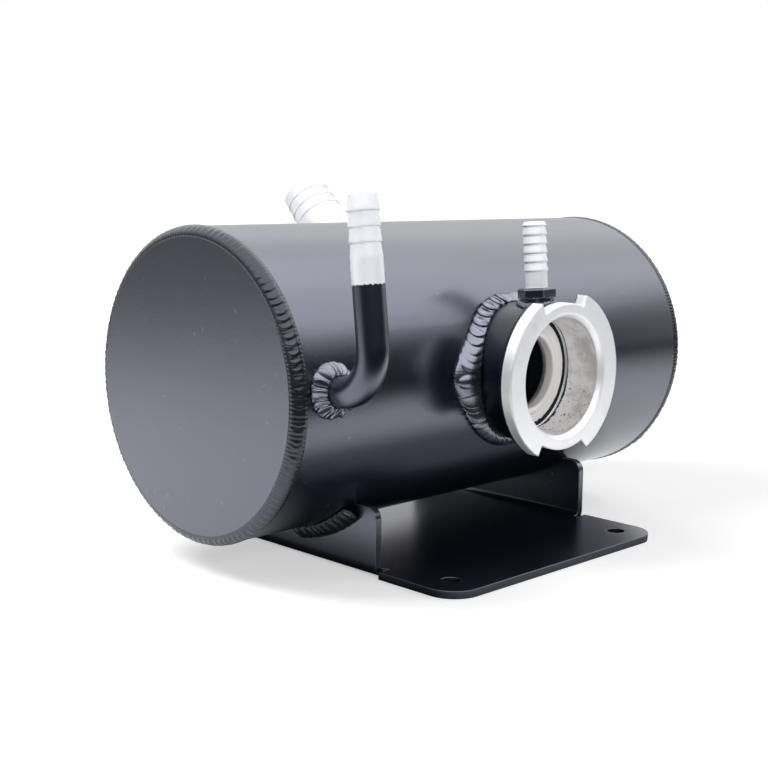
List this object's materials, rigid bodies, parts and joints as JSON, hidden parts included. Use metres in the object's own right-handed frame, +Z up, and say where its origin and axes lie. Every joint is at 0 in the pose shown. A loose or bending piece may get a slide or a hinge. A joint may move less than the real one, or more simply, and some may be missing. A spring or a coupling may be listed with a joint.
{
  "type": "coolant expansion tank",
  "caption": "Horizontal cylindrical coolant tank with a side filler neck, hose tails and a folded foot bracket.",
  "frame": {"origin": "middle of the bracket's four bolt holes, on the underside of its plate", "axes": "+X along the tank, +Z up out of the plate, filler neck towards -Y"},
  "size_m": [0.1982, 0.1524, 0.1256],
  "materials": {
    "black_coat": "satin",
    "bare_aluminium": "machined"
  },
  "bodies": {
    "root": {"bleed_elbow": "black_coat", "bleed_elbow_weld": "black_coat", "bracket_weld_left_front": "black_coat", "bracket_weld_left_rear": "black_coat", "bracket_weld_right_front": "black_coat", "bracket_weld_right_rear": "black_coat", "end_plate_left": "black_coat", "end_plate_right": "black_coat", "end_weld_left": "black_coat", "end_weld_right": "black_coat", "filler_neck": "bare_aluminium", "mounting_bracket": "black_coat", "neck_weld": "black_coat", "overflow_barb": "bare_aluminium", "overflow_boss": "black_coat", "overflow_boss_weld": "black_coat", "return_hose_tail": "bare_aluminium", "return_tail_weld": "black_coat", "tank_tube": "black_coat"}
  },
  "joints": []
}
